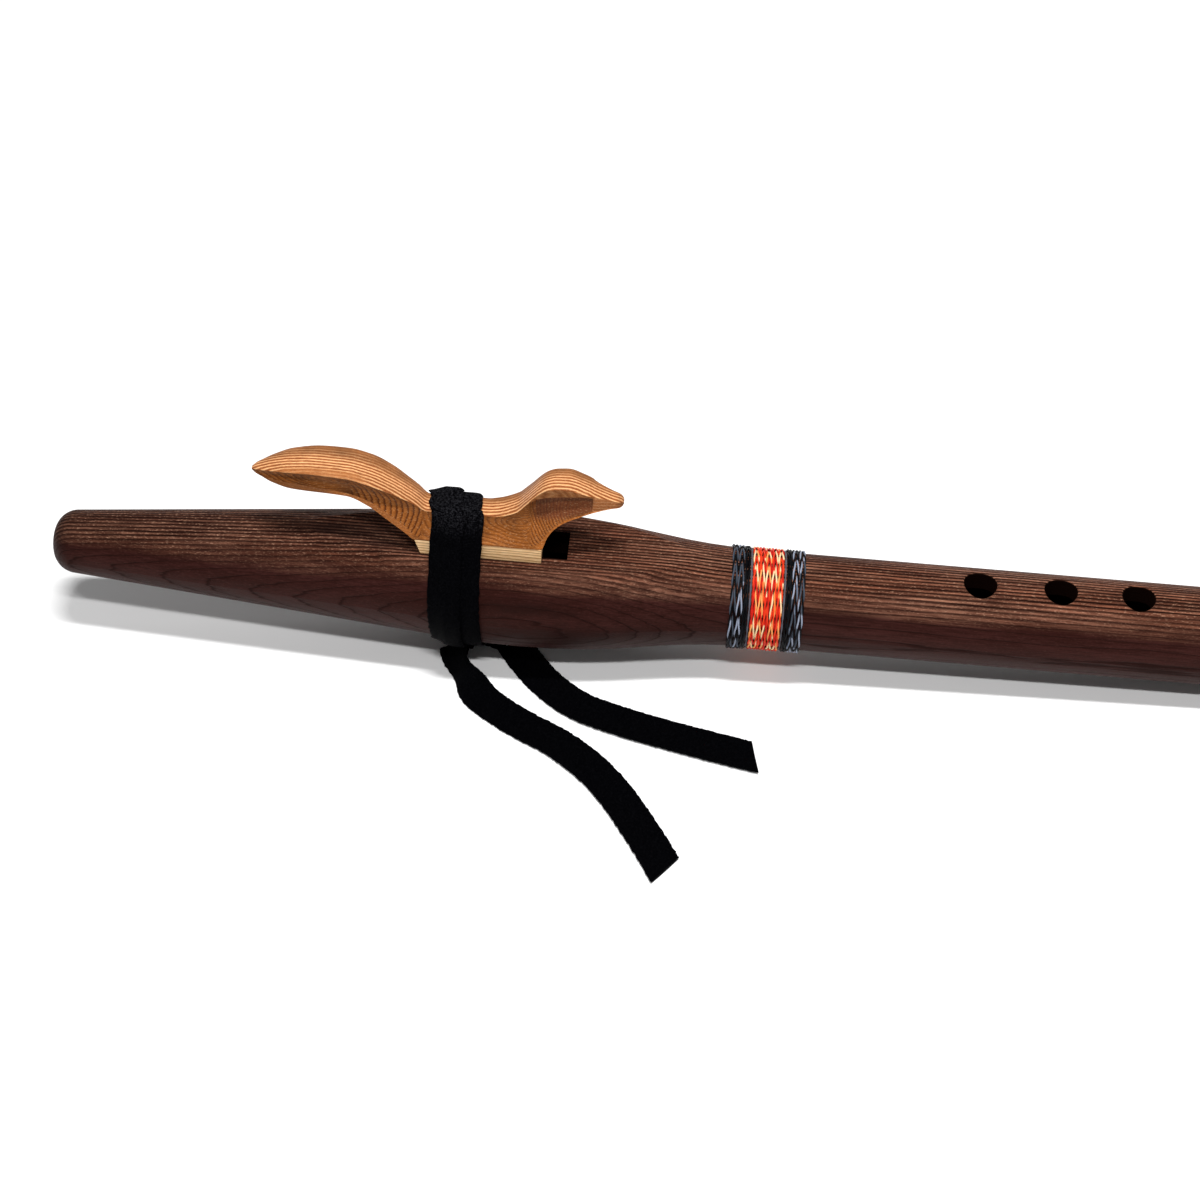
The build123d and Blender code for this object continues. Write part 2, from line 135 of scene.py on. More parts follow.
def body_radius(x):
    """The outside radius of the body at a place along it, behind the rounded nose."""
    if x < belly_blend_x:
        return belly_blend_radius - cone_slope * (belly_blend_x - x)
    if x < belly_x:
        return belly_radius - cone_blend_radius + sqrt(cone_blend_radius**2 - (belly_x - x) ** 2)
    if x < shoulder_x:
        return belly_radius - shoulder_arc_radius + sqrt(shoulder_arc_radius**2 - (x - belly_x) ** 2)
    if x < barrel_start_x:
        run = barrel_start_x - x
        return barrel_radius + shoulder_arc_radius - sqrt(shoulder_arc_radius**2 - run**2)
    return barrel_radius


# Mesh helpers
def add_object(name, data):
    """A new object in the scene."""
    obj = bpy.data.objects.new(name, data)
    bpy.context.scene.collection.objects.link(obj)
    return obj


def add_mesh(name, points, faces, smooth=True):
    """A new mesh object from points in the row frame."""
    mesh = bpy.data.meshes.new(name)
    mesh.from_pydata([tuple(p) for p in points], [], faces)
    mesh.polygons.foreach_set("use_smooth", [smooth] * len(mesh.polygons))
    mesh.update()
    return add_object(name, mesh)


def tube_faces(rings, sides, first=0):
    """Faces of a closed tube whose points run ring by ring, with a cap at each end."""
    faces = []
    for i in range(rings - 1):
        for j in range(sides):
            a = first + i * sides + j
            b = first + i * sides + (j + 1) % sides
            faces.append((a, b, b + sides, a + sides))
    faces.append(tuple(first + j for j in reversed(range(sides))))
    faces.append(tuple(first + (rings - 1) * sides + j for j in range(sides)))
    return faces


def smooth_step(t):
    """0 below 0, 1 above 1, and a smooth rise between."""
    t = min(1.0, max(0.0, t))
    return t * t * (3 - 2 * t)


def smooth_value(xs, ys, x):
    """A smooth curve through the given values that never overshoots them."""
    spans = range(len(xs) - 1)
    rise = [(ys[i + 1] - ys[i]) / (xs[i + 1] - xs[i]) for i in spans]
    slope = [rise[0]]
    for before, after in zip(rise, rise[1:]):
        slope.append(2 * before * after / (before + after) if before * after > 0 else 0.0)
    slope.append(rise[-1])
    i = max(k for k in spans if xs[k] <= x or k == 0)
    step = xs[i + 1] - xs[i]
    t = (x - xs[i]) / step
    start = (1 + 2 * t) * (1 - t) ** 2 * ys[i] + t * (1 - t) ** 2 * step * slope[i]
    end = t * t * (3 - 2 * t) * ys[i + 1] + t * t * (t - 1) * step * slope[i + 1]
    return start + end


# Material helpers
class Nodes:
    """Short calls to build a material's node tree."""

    def __init__(self, name):
        self.material = bpy.data.materials.new(name)
        self.material.use_nodes = True
        self.tree = self.material.node_tree
        self.shader = self.tree.nodes["Principled BSDF"]

    def add(self, kind, settings=(), inputs=()):
        node = self.tree.nodes.new(kind)
        for key, value in dict(settings).items():
            setattr(node, key, value)
        for key, value in dict(inputs).items():
            self.put(value, node.inputs[key])
        return node

    def put(self, value, socket):
        if isinstance(value, bpy.types.NodeSocket):
            self.tree.links.new(value, socket)
        else:
            socket.default_value = value

    def math(self, operation, a, b=0.0, c=0.0):
        node = self.add("ShaderNodeMath", {"operation": operation})
        for value, socket in zip((a, b, c), node.inputs):
            self.put(value, socket)
        return node.outputs[0]

    def mix(self, share, a, b, blend="MIX"):
        node = self.add("ShaderNodeMix", {"data_type": "RGBA", "blend_type": blend})
        self.put(share, node.inputs[0])
        self.put(a, node.inputs[6])
        self.put(b, node.inputs[7])
        return node.outputs[2]

    def ramp(self, value, stops, interpolation="LINEAR"):
        node = self.add("ShaderNodeValToRGB")
        ramp = node.color_ramp
        ramp.interpolation = interpolation
        while len(ramp.elements) < len(stops):
            ramp.elements.new(0.5)
        for element, (position, colour) in zip(ramp.elements, stops):
            element.position = position
            element.color = (*colour, 1.0) if len(colour) == 3 else colour
        self.put(value, node.inputs[0])
        return node.outputs[0]

    def curve(self, value, low, high, to_low=0.0, to_high=1.0):
        node = self.add("ShaderNodeMapRange", {"clamp": True})
        for key, number in zip(range(5), (value, low, high, to_low, to_high)):
            self.put(number, node.inputs[key])
        return node.outputs[0]

    def coords(self, scale):
        """The flute's own frame in millimetres, each axis divided by a length in millimetres."""
        if not hasattr(self, "own"):
            source = self.add("ShaderNodeTexCoord").outputs["Object"]
            turned = Matrix.Rotation(-pitch, 3, "Y")
            offset = turned @ (-place(0, 0, 0) / MM)
            self.own = self.add(
                "ShaderNodeMapping",
                inputs={
                    "Vector": source,
                    "Location": offset,
                    "Rotation": (0.0, -pitch, 0.0),
                    "Scale": (1 / MM, 1 / MM, 1 / MM),
                },
            ).outputs[0]
        return self.add(
            "ShaderNodeVectorMath",
            {"operation": "DIVIDE"},
            {0: self.own, 1: scale},
        ).outputs[0]

    def noise(self, scale, detail=2.0, roughness=0.5, distortion=0.0):
        """Noise whose features have the given size along each axis, in millimetres."""
        return self.add(
            "ShaderNodeTexNoise",
            inputs={
                "Vector": self.coords(scale),
                "Scale": 1.0,
                "Detail": detail,
                "Roughness": roughness,
                "Distortion": distortion,
            },
        ).outputs[0]

    def axes(self):
        """x, y and z in the flute's own frame, in millimetres."""
        return self.add("ShaderNodeSeparateXYZ", inputs={0: self.coords((1, 1, 1))}).outputs

    def bump(self, height, strength, distance):
        node = self.add("ShaderNodeBump", inputs={"Strength": strength, "Distance": distance * MM})
        self.put(height, node.inputs["Height"])
        return node.outputs[0]

    def attribute(self, name):
        return self.add("ShaderNodeAttribute", {"attribute_name": name})

    def finish(self, colour, roughness, normal=None, **values):
        self.put(colour, self.shader.inputs["Base Color"])
        self.put(roughness, self.shader.inputs["Roughness"])
        if normal is not None:
            self.put(normal, self.shader.inputs["Normal"])
        for key, value in values.items():
            self.shader.inputs[key.replace("_", " ")].default_value = value
        return self.material


def body_wood():
    """Dark-stained cedar: growth rings in upright planes along the flute, cut by its round."""
    n = Nodes("body_wood")
    x, y, z = n.axes()
    broad = n.math("MULTIPLY", n.math("SUBTRACT", n.noise((110, 14, 14), 2.0), 0.5), 1.5)
    small = n.math("MULTIPLY", n.math("SUBTRACT", n.noise((28, 1.6, 1.6), 2.0, 0.6), 0.5), 0.42)
    closer = n.math("MULTIPLY", n.math("MULTIPLY", y, n.math("ABSOLUTE", y)), 0.0015)
    count = n.math("ADD", n.math("ADD", n.math("MULTIPLY", y, 0.74), closer), broad)
    ring = n.math("FRACT", n.math("ADD", n.math("ADD", count, small), 40.0))
    # The late wood ends sharply, so each ring darkens slowly and then turns light again.
    line = n.ramp(
        ring,
        (
            (0.0, (1.0,) * 3),
            (0.09, (0.5,) * 3),
            (0.2, (0.0,) * 3),
            (0.44, (0.08,) * 3),
            (0.62, (0.6,) * 3),
            (0.78, (1.0,) * 3),
        ),
    )
    thin_line = n.ramp(
        ring,
        (
            (0.0, (0.7,) * 3),
            (0.04, (0.1,) * 3),
            (0.1, (0.0,) * 3),
            (0.6, (0.0,) * 3),
            (0.88, (0.25,) * 3),
            (0.96, (1.0,) * 3),
        ),
    )
    # Seen from above the rings lie edge on and look warm; the flat-sawn sides are dark plum. On top of the grain this
    # paints light: the upper part, facing the lamps, is painted warm and bright, and the lower sides dark as painted
    # shade.
    radius = n.math("SQRT", n.math("ADD", n.math("MULTIPLY", y, y), n.math("MULTIPLY", z, z)))
    wander = n.math("MULTIPLY", n.math("SUBTRACT", n.noise((75, 9, 9), 2.0), 0.5), 0.34)
    edge_grain_and_top_light = n.curve(n.math("ADD", n.math("DIVIDE", z, radius), wander), 0.57, 0.92)
    strength = n.curve(n.noise((45, 3, 3), 1.0), 0.3, 0.6, 0.84, 1.0)
    strength = n.math("MULTIPLY", strength, n.curve(edge_grain_and_top_light, 0.0, 1.0, 0.72, 1.0))
    line = n.math("MULTIPLY", n.mix(edge_grain_and_top_light, thin_line, line), strength)
    fibre = n.noise((9.0, 0.42, 0.42), 4.0, 0.7)
    fleck = n.noise((1.1, 0.34, 0.34), 2.0, 0.6)
    patch = n.curve(n.noise((70, 12, 12), 2.0), 0.35, 0.68)
    # The dark flat-sawn colour is partly painted shade, and the bright quarter-sawn colour partly painted light from
    # above.
    flat_sawn_shaded = n.mix(patch, (0.014, 0.0034, 0.0030, 1), (0.034, 0.0105, 0.0095, 1))
    quarter_sawn_lit = n.mix(patch, (0.21, 0.076, 0.042, 1), (0.40, 0.188, 0.118, 1))
    darker_end = n.curve(x, -120.0, 60.0, 0.37, 0.93)
    streak = n.curve(n.noise((38, 1.5, 1.5), 2.0, 0.6), 0.40, 0.60, 0.42, 1.2)
    weak = n.add("ShaderNodeCombineColor")
    for socket in weak.inputs:
        n.put(n.math("MULTIPLY", darker_end, streak), socket)
    early = n.mix(edge_grain_and_top_light, flat_sawn_shaded, n.mix(1.0, quarter_sawn_lit, weak.outputs[0], "MULTIPLY"))
    shade = n.mix(edge_grain_and_top_light, (0.008, 0.0018, 0.0015, 1), (0.030, 0.0085, 0.0052, 1))
    streaked = n.mix(n.curve(fibre, 0.40, 0.60, 0.25, 1.0), shade, early)
    # Pale flecks on the top are painted glints; on the lower sides the flecks stay dark.
    fleck_glint = n.mix(edge_grain_and_top_light, (0.045, 0.018, 0.016, 1), (0.56, 0.31, 0.20, 1))
    lit = n.mix(n.curve(fleck, 0.55, 0.72, 0.0, 0.5), streaked, fleck_glint)
    dark = n.mix(n.math("MULTIPLY", line, 0.985), lit, (0.0022, 0.0005, 0.0005, 1))
    # Darker patches painted on the body.
    spotted = n.mix(dark_spots(n), dark, (0.005, 0.002, 0.002, 1))
    colour = n.mix(hollows(n, x, y, z), spotted, (0.0006, 0.0004, 0.0004, 1))
    height = n.math("ADD", n.math("MULTIPLY", line, -1.3), n.math("MULTIPLY", fibre, 0.9))
    height = n.math("ADD", height, n.math("MULTIPLY", fleck, 0.5))
    normal = n.bump(height, 0.8, 0.13)
    rough = n.math("ADD", n.curve(fibre, 0.3, 0.7, 0.5, 0.64), n.math("MULTIPLY", line, 0.3))
    rough = n.math("MAXIMUM", rough, hollows(n, x, y, z))
    return n.finish(
        colour,
        rough,
        normal,
        IOR=1.5,
        Specular_IOR_Level=0.17,
        Specular_Tint=(1.0, 0.34, 0.22, 1),
    )


def dark_spots(n):
    """Places painted darker: x, y, z, and reach along and across, in mm."""
    x, y, z = n.axes()
    wander = n.math("MULTIPLY", n.math("SUBTRACT", n.noise((8, 2.5, 2.5), 3.0, 0.6), 0.5), 1.5)
    total = None
    for sx, sy, sz, reach, width, depth in (
        (-170.6, 0.0, 0.0, 1.3, 30.0, 1.0),
        (-172.0, 0.0, 0.0, 14.0, 40.0, 0.5),
        (-78.0, -1.0, 17.5, 19.0, 3.4, 0.75),
        (-60.0, -6.0, 16.5, 14.0, 3.0, 0.6),
        (-12.0, -21.0, 8.0, 17.0, 3.0, 0.7),
        (2.0, -20.0, -3.0, 22.0, 6.0, 0.45),
        (78.0, -13.0, 9.0, 24.0, 3.5, 0.4),
    ):
        dx = n.math("DIVIDE", n.math("SUBTRACT", x, sx), reach)
        dy = n.math("DIVIDE", n.math("SUBTRACT", y, sy), width)
        dz = n.math("DIVIDE", n.math("SUBTRACT", z, sz), width)
        far = n.math("SQRT", n.math("ADD", n.math("MULTIPLY", dx, dx), n.math("ADD", n.math("MULTIPLY", dy, dy), n.math("MULTIPLY", dz, dz))))
        spot = n.math("MULTIPLY", n.curve(n.math("ADD", far, wander), 0.35, 1.15, 1.0, 0.0), depth)
        total = spot if total is None else n.math("MAXIMUM", total, spot)
    return total


def hollows(n, x, y, z):
    """1 inside the bore, the sound hole and the finger holes, where little light comes."""
    radius = n.math("SQRT", n.math("ADD", n.math("MULTIPLY", y, y), n.math("MULTIPLY", z, z)))
    bore = n.math("LESS_THAN", radius, 9.75)
    in_wall = n.math("LESS_THAN", radius, 15.62)
    holes = n.math("MULTIPLY", n.math("GREATER_THAN", x, 100.0), in_wall)
    before_foot = n.math("LESS_THAN", x, 330.0)
    hole = n.math("MULTIPLY", holes, before_foot)
    low = n.math("LESS_THAN", z, 16.9)
    middle = n.math("LESS_THAN", n.math("ABSOLUTE", y), 6.6)
    window = n.math("MULTIPLY", n.math("GREATER_THAN", x, -16.0), n.math("LESS_THAN", x, 1.5))
    above = n.math("GREATER_THAN", z, 0.0)
    sound = n.math("MULTIPLY", n.math("MULTIPLY", low, middle), n.math("MULTIPLY", window, above))
    inside = n.math("MAXIMUM", n.math("MAXIMUM", bore, hole), sound)
    inside = n.math("MULTIPLY", inside, n.math("GREATER_THAN", x, -162.0))
    return n.math("MAXIMUM", inside, n.math("LESS_THAN", radius, 2.45))


def block_wood():
    """Oiled reddish cedar: pale stripes along the top, darker nested rings in the carved sides."""
    n = Nodes("block_wood")
    ring_value = n.attribute("ring").outputs["Fac"]
    side = n.attribute("side").outputs["Fac"]
    tone_and_light = n.attribute("tone_and_light").outputs["Fac"]
    lines = n.attribute("lines").outputs["Fac"]
    plum_and_shade = n.attribute("plum_and_shade").outputs["Fac"]
    small = n.math("MULTIPLY", n.math("SUBTRACT", n.noise((5, 1.1, 1.1), 3.0, 0.6), 0.5), 0.55)
    ring = n.math("FRACT", n.math("ADD", ring_value, small))
    # Along the top: pale cream stripes between the ring lines, partly painted highlight.
    top = n.ramp(
        ring,
        (
            (0.0, (0.36, 0.115, 0.036)),
            (0.16, (0.50, 0.19, 0.066)),
            (0.34, (0.92, 0.54, 0.27)),
            (0.46, (0.84, 0.42, 0.175)),
            (0.62, (0.47, 0.175, 0.060)),
            (0.78, (0.30, 0.085, 0.023)),
            (0.88, (0.12, 0.026, 0.007)),
            (0.94, (0.30, 0.090, 0.026)),
            (1.0, (0.36, 0.115, 0.036)),
        ),
    )
    plain_top = (0.46, 0.165, 0.050, 1)
    carved = n.ramp(
        ring,
        (
            (0.0, (0.21, 0.062, 0.012)),
            (0.15, (0.30, 0.098, 0.020)),
            (0.55, (0.24, 0.074, 0.014)),
            (0.78, (0.10, 0.024, 0.005)),
            (0.88, (0.032, 0.007, 0.002)),
            (1.0, (0.21, 0.062, 0.012)),
        ),
    )
    plain_side = (0.21, 0.066, 0.012, 1)
    top = n.mix(lines, plain_top, top)
    carved = n.mix(lines, plain_side, carved)
    mixed = n.mix(side, top, carved)
    # Dark plum where the cheeks are hollowed: partly the wood's colour, partly painted shade in the hollow.
    reddened = n.mix(plum_and_shade, mixed, (0.135, 0.038, 0.020, 1))
    fibre = n.noise((2.4, 0.22, 0.22), 4.0, 0.65)
    fleck = n.noise((0.8, 0.3, 0.3), 2.0, 0.6)
    deep = n.mix(0.62, reddened, (0.06, 0.014, 0.004, 1))
    toned = n.mix(n.curve(fibre, 0.42, 0.66, 0.0, 0.75), reddened, deep)
    pale = n.mix(0.3, reddened, (1.0, 0.62, 0.32, 1))
    light = n.mix(n.curve(fleck, 0.56, 0.74, 0.0, 0.7), toned, pale)
    # The tone multiplies the colour; it holds painted highlight and shade as well as the wood's own tone.
    grey = n.add("ShaderNodeCombineColor")
    for socket in grey.inputs:
        n.put(tone_and_light, socket)
    shaded = n.mix(1.0, light, grey.outputs[0], "MULTIPLY")
    height = n.math("ADD", n.math("MULTIPLY", ring, -0.4), n.math("MULTIPLY", fibre, 0.6))
    normal = n.bump(height, 0.5, 0.1)
    rough = n.curve(fibre, 0.2, 0.8, 0.38, 0.52)
    return n.finish(shaded, rough, normal, Specular_IOR_Level=0.16, Specular_Tint=(1.0, 0.7, 0.45, 1))


def base_wood():
    """Pale sapwood with thin lines along it."""
    n = Nodes("base_wood")
    x, y, z = n.axes()
    wander = n.math("MULTIPLY", n.math("SUBTRACT", n.noise((26, 5, 3), 2.0), 0.5), 1.6)
    tilt = n.math("MULTIPLY", x, 0.012)
    ring = n.math("FRACT", n.math("ADD", n.math("DIVIDE", n.math("ADD", z, wander), 1.15), tilt))
    line = n.ramp(ring, ((0.0, (0.5,) * 3), (0.12, (0.0,) * 3), (0.6, (0.1,) * 3), (0.88, (1.0,) * 3)))
    fibre = n.noise((3.5, 0.25, 0.25), 3.0, 0.65)
    pale = n.mix(n.curve(fibre, 0.35, 0.65), (1.0, 0.73, 0.41, 1), (0.78, 0.46, 0.20, 1))
    lined = n.mix(n.math("MULTIPLY", line, 0.8), pale, (0.28, 0.11, 0.03, 1))
    normal = n.bump(n.math("SUBTRACT", fibre, n.math("MULTIPLY", line, 0.6)), 0.4, 0.07)
    return n.finish(lined, 0.42, normal, Specular_IOR_Level=0.3)


def suede():
    """Black suede: matt and pebbled."""
    n = Nodes("suede")
    pebble = n.noise((0.6, 0.45, 0.45), 3.0, 0.65)
    fine = n.noise((0.16, 0.16, 0.16), 2.0, 0.6)
    lit = n.mix(n.curve(fine, 0.45, 0.75), (0.008, 0.008, 0.010, 1), (0.045, 0.045, 0.050, 1))
    # Painted light: the pebbles are painted lighter high up, where the strap bends over the block under the lamps, and
    # nearly black lower down.
    top_light = n.curve(n.axes()[2], 27.0, 32.5, 0.10, 1.0)
    lit_pebbles = n.math("MULTIPLY", n.curve(pebble, 0.46, 0.62), top_light)
    colour = n.mix(lit_pebbles, (0.0003, 0.0003, 0.0007, 1), lit)
    height = n.math("ADD", pebble, n.math("MULTIPLY", fine, 0.4))
    normal = n.bump(height, 1.0, 0.5)
    return n.finish(colour, 0.6, normal, Specular_IOR_Level=0.012)


def thread_fibre(name):
    """Twisted thread, coloured strand by strand."""
    n = Nodes(name)
    colour = n.attribute("strand").outputs["Color"]
    fibre = n.noise((0.25, 0.12, 0.12), 2.0, 0.6)
    toned = n.mix(n.curve(fibre, 0.35, 0.7, 0.0, 0.6), colour, (0.3, 0.2, 0.2, 1), "MULTIPLY")
    normal = n.bump(fibre, 0.4, 0.06)
    return n.finish(toned, 0.42, normal, Specular_IOR_Level=0.05)


def floor_paint():
    """Plain pale floor."""
    n = Nodes("floor_paint")
    return n.finish((0.9, 0.9, 0.9, 1), 0.9, Specular_IOR_Level=0.1)


materials = {
    "body": body_wood(),
    "block": block_wood(),
    "base": base_wood(),
    "suede": suede(),
    "thread": thread_fibre("thread_fibre"),
    "floor": floor_paint(),
}


def dress(obj, key):
    """Gives a piece one of the materials."""
    obj.data.materials.clear()
    obj.data.materials.append(materials[key])


# The body's two halves keep their construction shape.
for node in ("barrel_top", "barrel_bottom"):
    dress(frame["nodes"][node], "body")


# The bird block: one row per place along it, in the flute's own frame. Columns: x, crown
# height, ridge half-width, ridge height, brow half-width, brow height, scoop half-width,
# lower line's half-width and height, bottom half-width and height.
block_rows = (
    (-101.8, 41.5, 0.6, 41.1, 0.6, 41.0, 0.5, 0.5, 40.8, 0.4, 40.6),
    (-100.6, 42.3, 1.6, 41.9, 1.6, 41.7, 1.2, 1.3, 40.4, 1.1, 39.8),
    (-98.5, 43.3, 2.6, 42.7, 2.6, 42.4, 1.8, 2.2, 40.1, 1.7, 38.9),
    (-95.0, 44.9, 4.0, 44.0, 3.9, 43.6, 2.5, 3.3, 39.9, 2.6, 37.5),
    (-89.0, 46.7, 5.8, 45.6, 5.7, 45.2, 3.3, 4.6, 40.0, 3.9, 36.7),
    (-80.0, 47.7, 6.8, 46.6, 6.7, 46.1, 4.2, 5.3, 39.6, 4.8, 36.9),
    (-71.0, 47.3, 7.1, 46.2, 7.0, 45.7, 4.7, 5.6, 38.6, 5.1, 36.5),
    (-64.0, 45.4, 7.1, 44.3, 7.0, 43.8, 4.7, 6.1, 36.4, 5.8, 33.5),
    (-57.5, 42.0, 6.4, 41.0, 6.3, 40.5, 4.7, 7.2, 32.5, 6.9, 28.8),
    (-51.5, 37.7, 5.2, 36.8, 5.1, 36.4, 5.2, 8.3, 28.0, 8.4, 24.9),
    (-49.1, 35.7, 4.8, 34.9, 4.7, 34.5, 5.6, 8.8, 25.6, 9.0, 23.35),
    (-45.4, 32.6, 4.1, 31.9, 4.1, 31.6, 5.6, 9.0, 24.0, 9.0, 23.35),
    (-26.4, 32.6, 4.1, 31.9, 4.1, 31.6, 5.4, 8.9, 24.0, 9.0, 23.35),
    (-23.8, 32.9, 4.4, 32.2, 4.35, 31.8, 5.4, 8.9, 24.0, 9.0, 23.35),
    (-17.0, 35.9, 4.7, 35.1, 4.6, 34.5, 5.0, 8.8, 24.0, 9.0, 23.35),
    (-13.6, 39.8, 4.5, 39.0, 4.3, 38.0, 4.6, 8.7, 24.0, 9.0, 23.35),
    (-11.9, 42.2, 4.2, 41.3, 3.8, 39.9, 3.4, 8.6, 24.2, 9.0, 23.35),
    (-9.9, 44.7, 4.4, 43.7, 3.9, 41.2, 2.9, 8.0, 24.8, 9.0, 23.35),
    (-8.2, 46.3, 4.6, 45.3, 4.05, 42.0, 2.8, 7.3, 26.4, 8.8, 23.45),
    (-6.6, 47.2, 4.75, 46.3, 4.2, 42.6, 2.8, 6.6, 29.0, 7.6, 27.6),
    (-4.5, 47.8, 4.9, 46.9, 4.3, 43.0, 2.9, 6.0, 31.4, 6.5, 30.6),
    (-1.0, 47.95, 5.1, 47.05, 4.4, 43.6, 3.0, 5.4, 34.3, 5.8, 33.5),
    (4.0, 46.4, 4.7, 45.6, 4.2, 43.9, 3.0, 4.8, 36.6, 5.0, 35.9),
    (6.7, 45.2, 4.3, 44.5, 4.1, 43.7, 3.0, 4.2, 37.6, 4.4, 36.9),
    (7.6, 44.7, 3.8, 44.0, 3.85, 43.5, 3.95, 4.1, 37.9, 4.2, 37.2),
    (13.0, 42.3, 2.5, 41.8, 2.55, 41.4, 2.7, 2.8, 38.7, 2.7, 38.1),
    (15.4, 41.4, 2.1, 41.0, 2.15, 40.7, 2.2, 2.2, 38.8, 2.1, 38.3),
    (16.4, 40.9, 1.6, 40.6, 1.65, 40.4, 1.7, 1.7, 39.0, 1.6, 38.6),
    (17.0, 40.2, 0.8, 40.0, 0.8, 39.9, 0.8, 0.8, 39.4, 0.7, 39.2),
)

crown_points = 10
scoop_points = 18
block_step = 0.4


def block_half_section(
    notched, crown, ridge_y, ridge_z, brow_y, brow_z, scoop_y, line_y, line_z, low_y, low_z
):
    """Half of a cross-section from the crown's middle to the bottom's middle.

    Each point has its place and the part of the carving it starts: 0 for the crown, 1 for
    the carved side, 2 for the lower facet, 3 for the underside, 4 for the brow facet.
    """
    points = []
    for k in range(crown_points):
        angle = k / crown_points * pi / 2
        points.append((ridge_y * sin(angle), ridge_z + (crown - ridge_z) * cos(angle), 0))
    points.append((ridge_y, ridge_z, 4))
    points.append(((ridge_y + brow_y) / 2, (ridge_z + brow_z) / 2, 4))
    for k in range(scoop_points):
        t = (k / scoop_points) ** 1.25
        bowl = 4 * t * (1 - t)
        notch = min(1.0, t / 0.16) ** 0.7 * (1 - smooth_step((t - 0.25) / 0.75))
        deep = (brow_y + line_y) / 2 - scoop_y
        inward = deep * ((1 - notched) * bowl + notched * 1.15 * notch)
        y = brow_y + (line_y - brow_y) * t - inward
        points.append((y, brow_z + (line_z - brow_z) * t, 1))
    points.append((line_y, line_z, 2))
    points.append((0.4 * line_y + 0.6 * low_y, 0.4 * line_z + 0.6 * low_z, 2))
    edge = min(0.5, 0.3 * low_y)
    points.append((low_y, low_z + 0.4 * edge, 2))
    points.append((low_y - 0.4 * edge, low_z, 3))
    points.append((low_y - edge, low_z, 3))
    points.append((0.5 * low_y, low_z, 3))
    return points


def make_block():
    """The carved bird, with its growth rings worked out point by point."""
    xs, *columns = zip(*block_rows)
    count = int((xs[-1] - xs[0]) / block_step) + 1
    places = np.linspace(xs[0], xs[-1], count)
    points = []
    rings = []
    zones = []
    for x in places:
        notched = smooth_step((x + 13.0) / 3.0) * (1 - smooth_step((x - 6.0) / 1.6))
        half = block_half_section(notched, *[smooth_value(xs, column, x) for column in columns])
        low_z = half[-1][1]
        front = [(-y, z, zone) for y, z, zone in half]
        back = [(y, z, zone) for y, z, zone in reversed(half[1:])]
        ring = front + [(0.0, low_z, 3)] + back
        for y, z, zone in ring:
            points.append((x, y, z))
        rings.append(ring)
    sides = len(rings[0])
    half_count = len(half)
    faces = tube_faces(count, sides)
    obj = add_mesh("bird", place_all(points), faces)
    mesh = obj.data
    columns_sharp = {crown_points, crown_points + 2, crown_points + 2 + scoop_points, half_count - 4}
    columns_sharp |= {sides - k for k in columns_sharp}
    for edge in mesh.edges:
        a, b = edge.vertices
        if a % sides == b % sides and a % sides in columns_sharp:
            edge.use_edge_sharp = True
    values = {name: [] for name in ("ring", "side", "tone_and_light", "lines", "plum_and_shade")}
    for face in mesh.polygons:
        column = min(v % sides for v in face.vertices)
        columns_here = sorted({v % sides for v in face.vertices})
        if columns_here == [0, sides - 1]:
            column = sides - 1
        zone = face_zone(column, half_count, rings[0])
        for v in face.vertices:
            for name, value in zip(values, block_grain(*points[v], zone)):
                values[name].append(value)
    for name, numbers in values.items():
        layer = mesh.attributes.new(name, "FLOAT", "CORNER")
        layer.data.foreach_set("value", numbers)
    return obj


def face_zone(column, half_count, ring):
    """Which part of the carving a strip of faces belongs to."""
    if column < half_count:
        return ring[column][2]
    mirrored = len(ring) - 1 - column
    return ring[mirrored][2]


